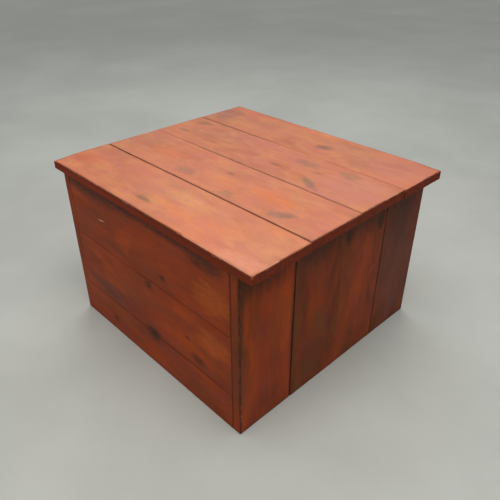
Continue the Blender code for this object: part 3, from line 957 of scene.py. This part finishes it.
def screw_shape(size):
    """One screw as points and faces, its head's face at height 0 and its tip below."""
    head_radius, head_depth, shank_radius, length = size
    segments, rings = HEAD_SEGMENTS, HEAD_RINGS
    points = [(0.0, 0.0, head_height(head_radius, 0.0, 0.0))]
    levels = [(head_radius * ring / rings, None) for ring in range(1, rings + 1)]
    levels += [(head_radius, -0.0003), (shank_radius, -head_depth), (shank_radius, -length + 0.004)]
    for radius, height in levels:
        for segment in range(segments):
            angle = 2 * math.pi * segment / segments
            x, y = radius * math.cos(angle), radius * math.sin(angle)
            points.append((x, y, head_height(head_radius, x, y) if height is None else height))
    points.append((0.0, 0.0, -length))
    faces = [(0, 1 + segment, 1 + (segment + 1) % segments) for segment in range(segments)]
    for ring in range(len(levels) - 1):
        low, high = 1 + ring * segments, 1 + (ring + 1) * segments
        for segment in range(segments):
            following = (segment + 1) % segments
            faces.append((low + segment, high + segment, high + following, low + following))
    last = 1 + (len(levels) - 1) * segments
    tip = len(points) - 1
    faces += [(last + segment, tip, last + (segment + 1) % segments) for segment in range(segments)]
    return points, faces


def add_screws(name, body, size, places, material, replaced=()):
    """A group of screws as one piece. Each place is its head's centre and the way that its tip points."""
    rng = np.random.default_rng(len(name) * 31 + len(places))
    shape_points, shape_faces = screw_shape(size)
    points, faces = [], []
    for head, tip_direction in places:
        turn = Vector((0, 0, -1)).rotation_difference(Vector(tip_direction)).to_matrix()
        turn = turn @ Matrix.Rotation(rng.uniform(0, math.pi), 3, "Z")
        start = len(points)
        points += [Vector(head) + turn @ Vector(point) for point in shape_points]
        faces += [tuple(start + index for index in face) for face in shape_faces]
    mesh = smooth_mesh(name, points, faces)
    mesh.set_sharp_from_angle(angle=math.radians(35))
    mesh.materials.append(material)
    piece = new_object(name, mesh)
    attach(piece, body)
    if replaced:
        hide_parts(*replaced)


def add_all_screws():
    """Detailed screws in place of the frame's own, and those that hold the walls, rails and floor."""
    zinc = steel_material("screw_steel_look", (0.66, 0.55, 0.34), 0.30, (0.30, 0.22, 0.12))
    for side in SIDES:
        for body in ("box", "lid"):
            nodes = [f"{side}_hinge_{body}_screw_{number}" for number in (1, 2, 3)]
            places = []
            for node in nodes:
                low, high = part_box(node)
                places.append((((low.x + high.x) / 2, high.y, (low.z + high.z) / 2), (0, -1, 0)))
            add_screws(f"{side}_hinge_{body}_screws", body, HINGE_SCREW, places, zinc, nodes)
        nodes = [f"lid_batten_{side}_screw_{number}" for number in (1, 2, 3, 4)]
        places = []
        for node in nodes:
            low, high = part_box(node)
            places.append((((low.x + high.x) / 2, (low.y + high.y) / 2, low.z), (0, 0, 1)))
        add_screws(f"lid_batten_{side}_screws", "lid", BATTEN_SCREW, places, zinc, nodes)
    add_screws("corner_post_screws", "box", WALL_SCREW, post_screw_places(), zinc)
    add_screws("rail_screws", "box", WALL_SCREW, rail_screw_places(), zinc)
    add_screws("floor_screws", "box", FLOOR_SCREW, floor_screw_places(), zinc)


def post_screw_places():
    """Screws through each corner post into the side wall and, a little lower, into the cross wall."""
    places = []
    for end, outward_y in (("front", -1), ("back", 1)):
        for side, outward_x in (("left", -1), ("right", 1)):
            low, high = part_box(f"corner_post_{end}_{side}")
            middle = (low + high) / 2
            inner_x = high.x if outward_x < 0 else low.x
            inner_y = high.y if outward_y < 0 else low.y
            for height in POST_SCREW_HEIGHTS:
                places.append(((inner_x - outward_x * HEAD_PROUD, middle.y, height), (outward_x, 0, 0)))
                lower = height - POST_SCREW_STAGGER
                places.append(((middle.x, inner_y - outward_y * HEAD_PROUD, lower), (0, outward_y, 0)))
    return places


def rail_screw_places():
    """Two screws through the rails into each upright board between the corner posts."""
    places = []
    for side, outward in (("left", -1), ("right", 1)):
        for level in ("top", "bottom"):
            low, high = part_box(f"{side}_{level}_rail")
            face = high.x if outward < 0 else low.x
            for number in (1, 2, 3, 4):
                board_low, board_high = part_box(f"{side}_side_board_{number}")
                start, end = max(board_low.y, low.y), min(board_high.y, high.y)
                for share in (0.25, 0.75):
                    y = start + (end - start) * share
                    height = (low.z + high.z) / 2 + (share - 0.5) * RAIL_SCREW_STAGGER
                    places.append(((face - outward * HEAD_PROUD, y, height), (outward, 0, 0)))
    return places


def floor_screw_places():
    """Two screws at each end of each floor board, down into the bottom rails."""
    places = []
    for side in SIDES:
        rail_low, rail_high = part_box(f"{side}_bottom_rail")
        x = (rail_low.x + rail_high.x) / 2
        for number in (1, 2, 3, 4):
            low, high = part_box(f"floor_board_{number}")
            start, end = max(low.y, rail_low.y), min(high.y, rail_high.y)
            for share in (0.2, 0.8):
                places.append(((x, start + (end - start) * share, high.z + HEAD_PROUD), (0, 0, -1)))
    return places


# ---- stage, light and camera


def stage_material():
    """Pale, slightly mottled floor."""
    material, graph, shader = new_material("floor_look")
    point = graph.add("TexCoord").outputs["Object"]
    cloud = graph.noise(point, (1.3, 1.3, 1.3), detail=5.0, roughness=0.6)
    colour = graph.mix(graph.ease(cloud, 0.3, 0.7), (0.41, 0.42, 0.40), (0.47, 0.48, 0.46))
    graph.link(colour, shader.inputs["Base Color"])
    graph.link(graph.ease(cloud, 0.3, 0.7, 0.50, 0.65), shader.inputs["Roughness"])
    shader.inputs["Specular IOR Level"].default_value = 0.2
    return material


def add_floor():
    mesh = bpy.data.meshes.new("studio_floor")
    corners = [(x * FLOOR_REACH, y * FLOOR_REACH, 0) for x, y in ((-1, -1), (1, -1), (1, 1), (-1, 1))]
    mesh.from_pydata(corners, [], [(0, 1, 2, 3)])
    mesh.materials.append(stage_material())
    floor = new_object("studio_floor", mesh)
    floor.location.z = -FLOOR_DROP


def add_lamp(name, kind, place, target, colour):
    light = bpy.data.lights.new(name, kind)
    light.color = colour
    lamp = new_object(name, light)
    lamp.location = place
    lamp.rotation_euler = (Vector(target) - Vector(place)).to_track_quat("-Z", "Y").to_euler()
    return light


def add_panel(name, place, target, size, radiance, colour):
    """A rectangular soft box that looks equally bright whatever its size."""
    light = add_lamp(name, "AREA", place, target, colour)
    light.shape = "RECTANGLE"
    light.size, light.size_y = size
    light.energy = radiance * math.pi * size[0] * size[1]


def add_light():
    world = bpy.data.worlds.new("studio_world")
    world.use_nodes = True
    graph = Graph(world.node_tree)
    direction = graph.add("TexCoord").outputs["Generated"]
    height = graph.parts(direction)[2]
    strength = graph.ease(height, 0.10, 0.85, 0.44, 0.34)
    background = world.node_tree.nodes["Background"]
    background.inputs["Color"].default_value = (0.96, 1.0, 0.97, 1.0)
    world.node_tree.links.new(strength, background.inputs["Strength"])
    bpy.context.scene.world = world
    overhead = add_lamp("overhead_glow", "SUN", (0, 0, 3), (-0.12, 0.12, 0), (1.0, 0.98, 0.95))
    overhead.energy = 0.6
    overhead.angle = math.radians(70)
    add_panel("ceiling_panel", (0.70, -0.55, 2.4), (0.65, -0.5, 0), (1.6, 1.6), 4.4, (1.0, 0.97, 0.92))
    add_panel("window_sheen", (-1.9, 1.8, 3.1), (0.2, -0.2, 0.5), (2.6, 1.6), 3.2, (1.0, 0.99, 0.94))
    bpy.context.scene.view_settings.view_transform = "Standard"


def add_camera():
    low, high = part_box("lid_board_1")
    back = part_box("lid_board_4")[1]
    middle = Vector((0.0, (low.y + back.y) / 2, 0.0))
    azimuth, elevation = math.radians(CAMERA_AZIMUTH), math.radians(CAMERA_ELEVATION)
    flat = math.cos(elevation)
    behind = Vector((math.sin(azimuth) * flat, -math.cos(azimuth) * flat, math.sin(elevation)))
    data = bpy.data.cameras.new("camera")
    data.sensor_width = SENSOR_WIDTH
    data.lens = LENS
    camera = new_object("camera", data)
    camera.location = middle + CAMERA_FROM_LID
    camera.rotation_euler = (-behind).to_track_quat("-Z", "Y").to_euler()
    bpy.context.scene.camera = camera


add_camera()
make_rings_group()
make_knot_group()
make_soft_mark_group()
make_edge_group()
add_lid_boards()
add_walls()
add_frame_wood()
finish_hinges()
add_all_screws()
add_floor()
add_light()
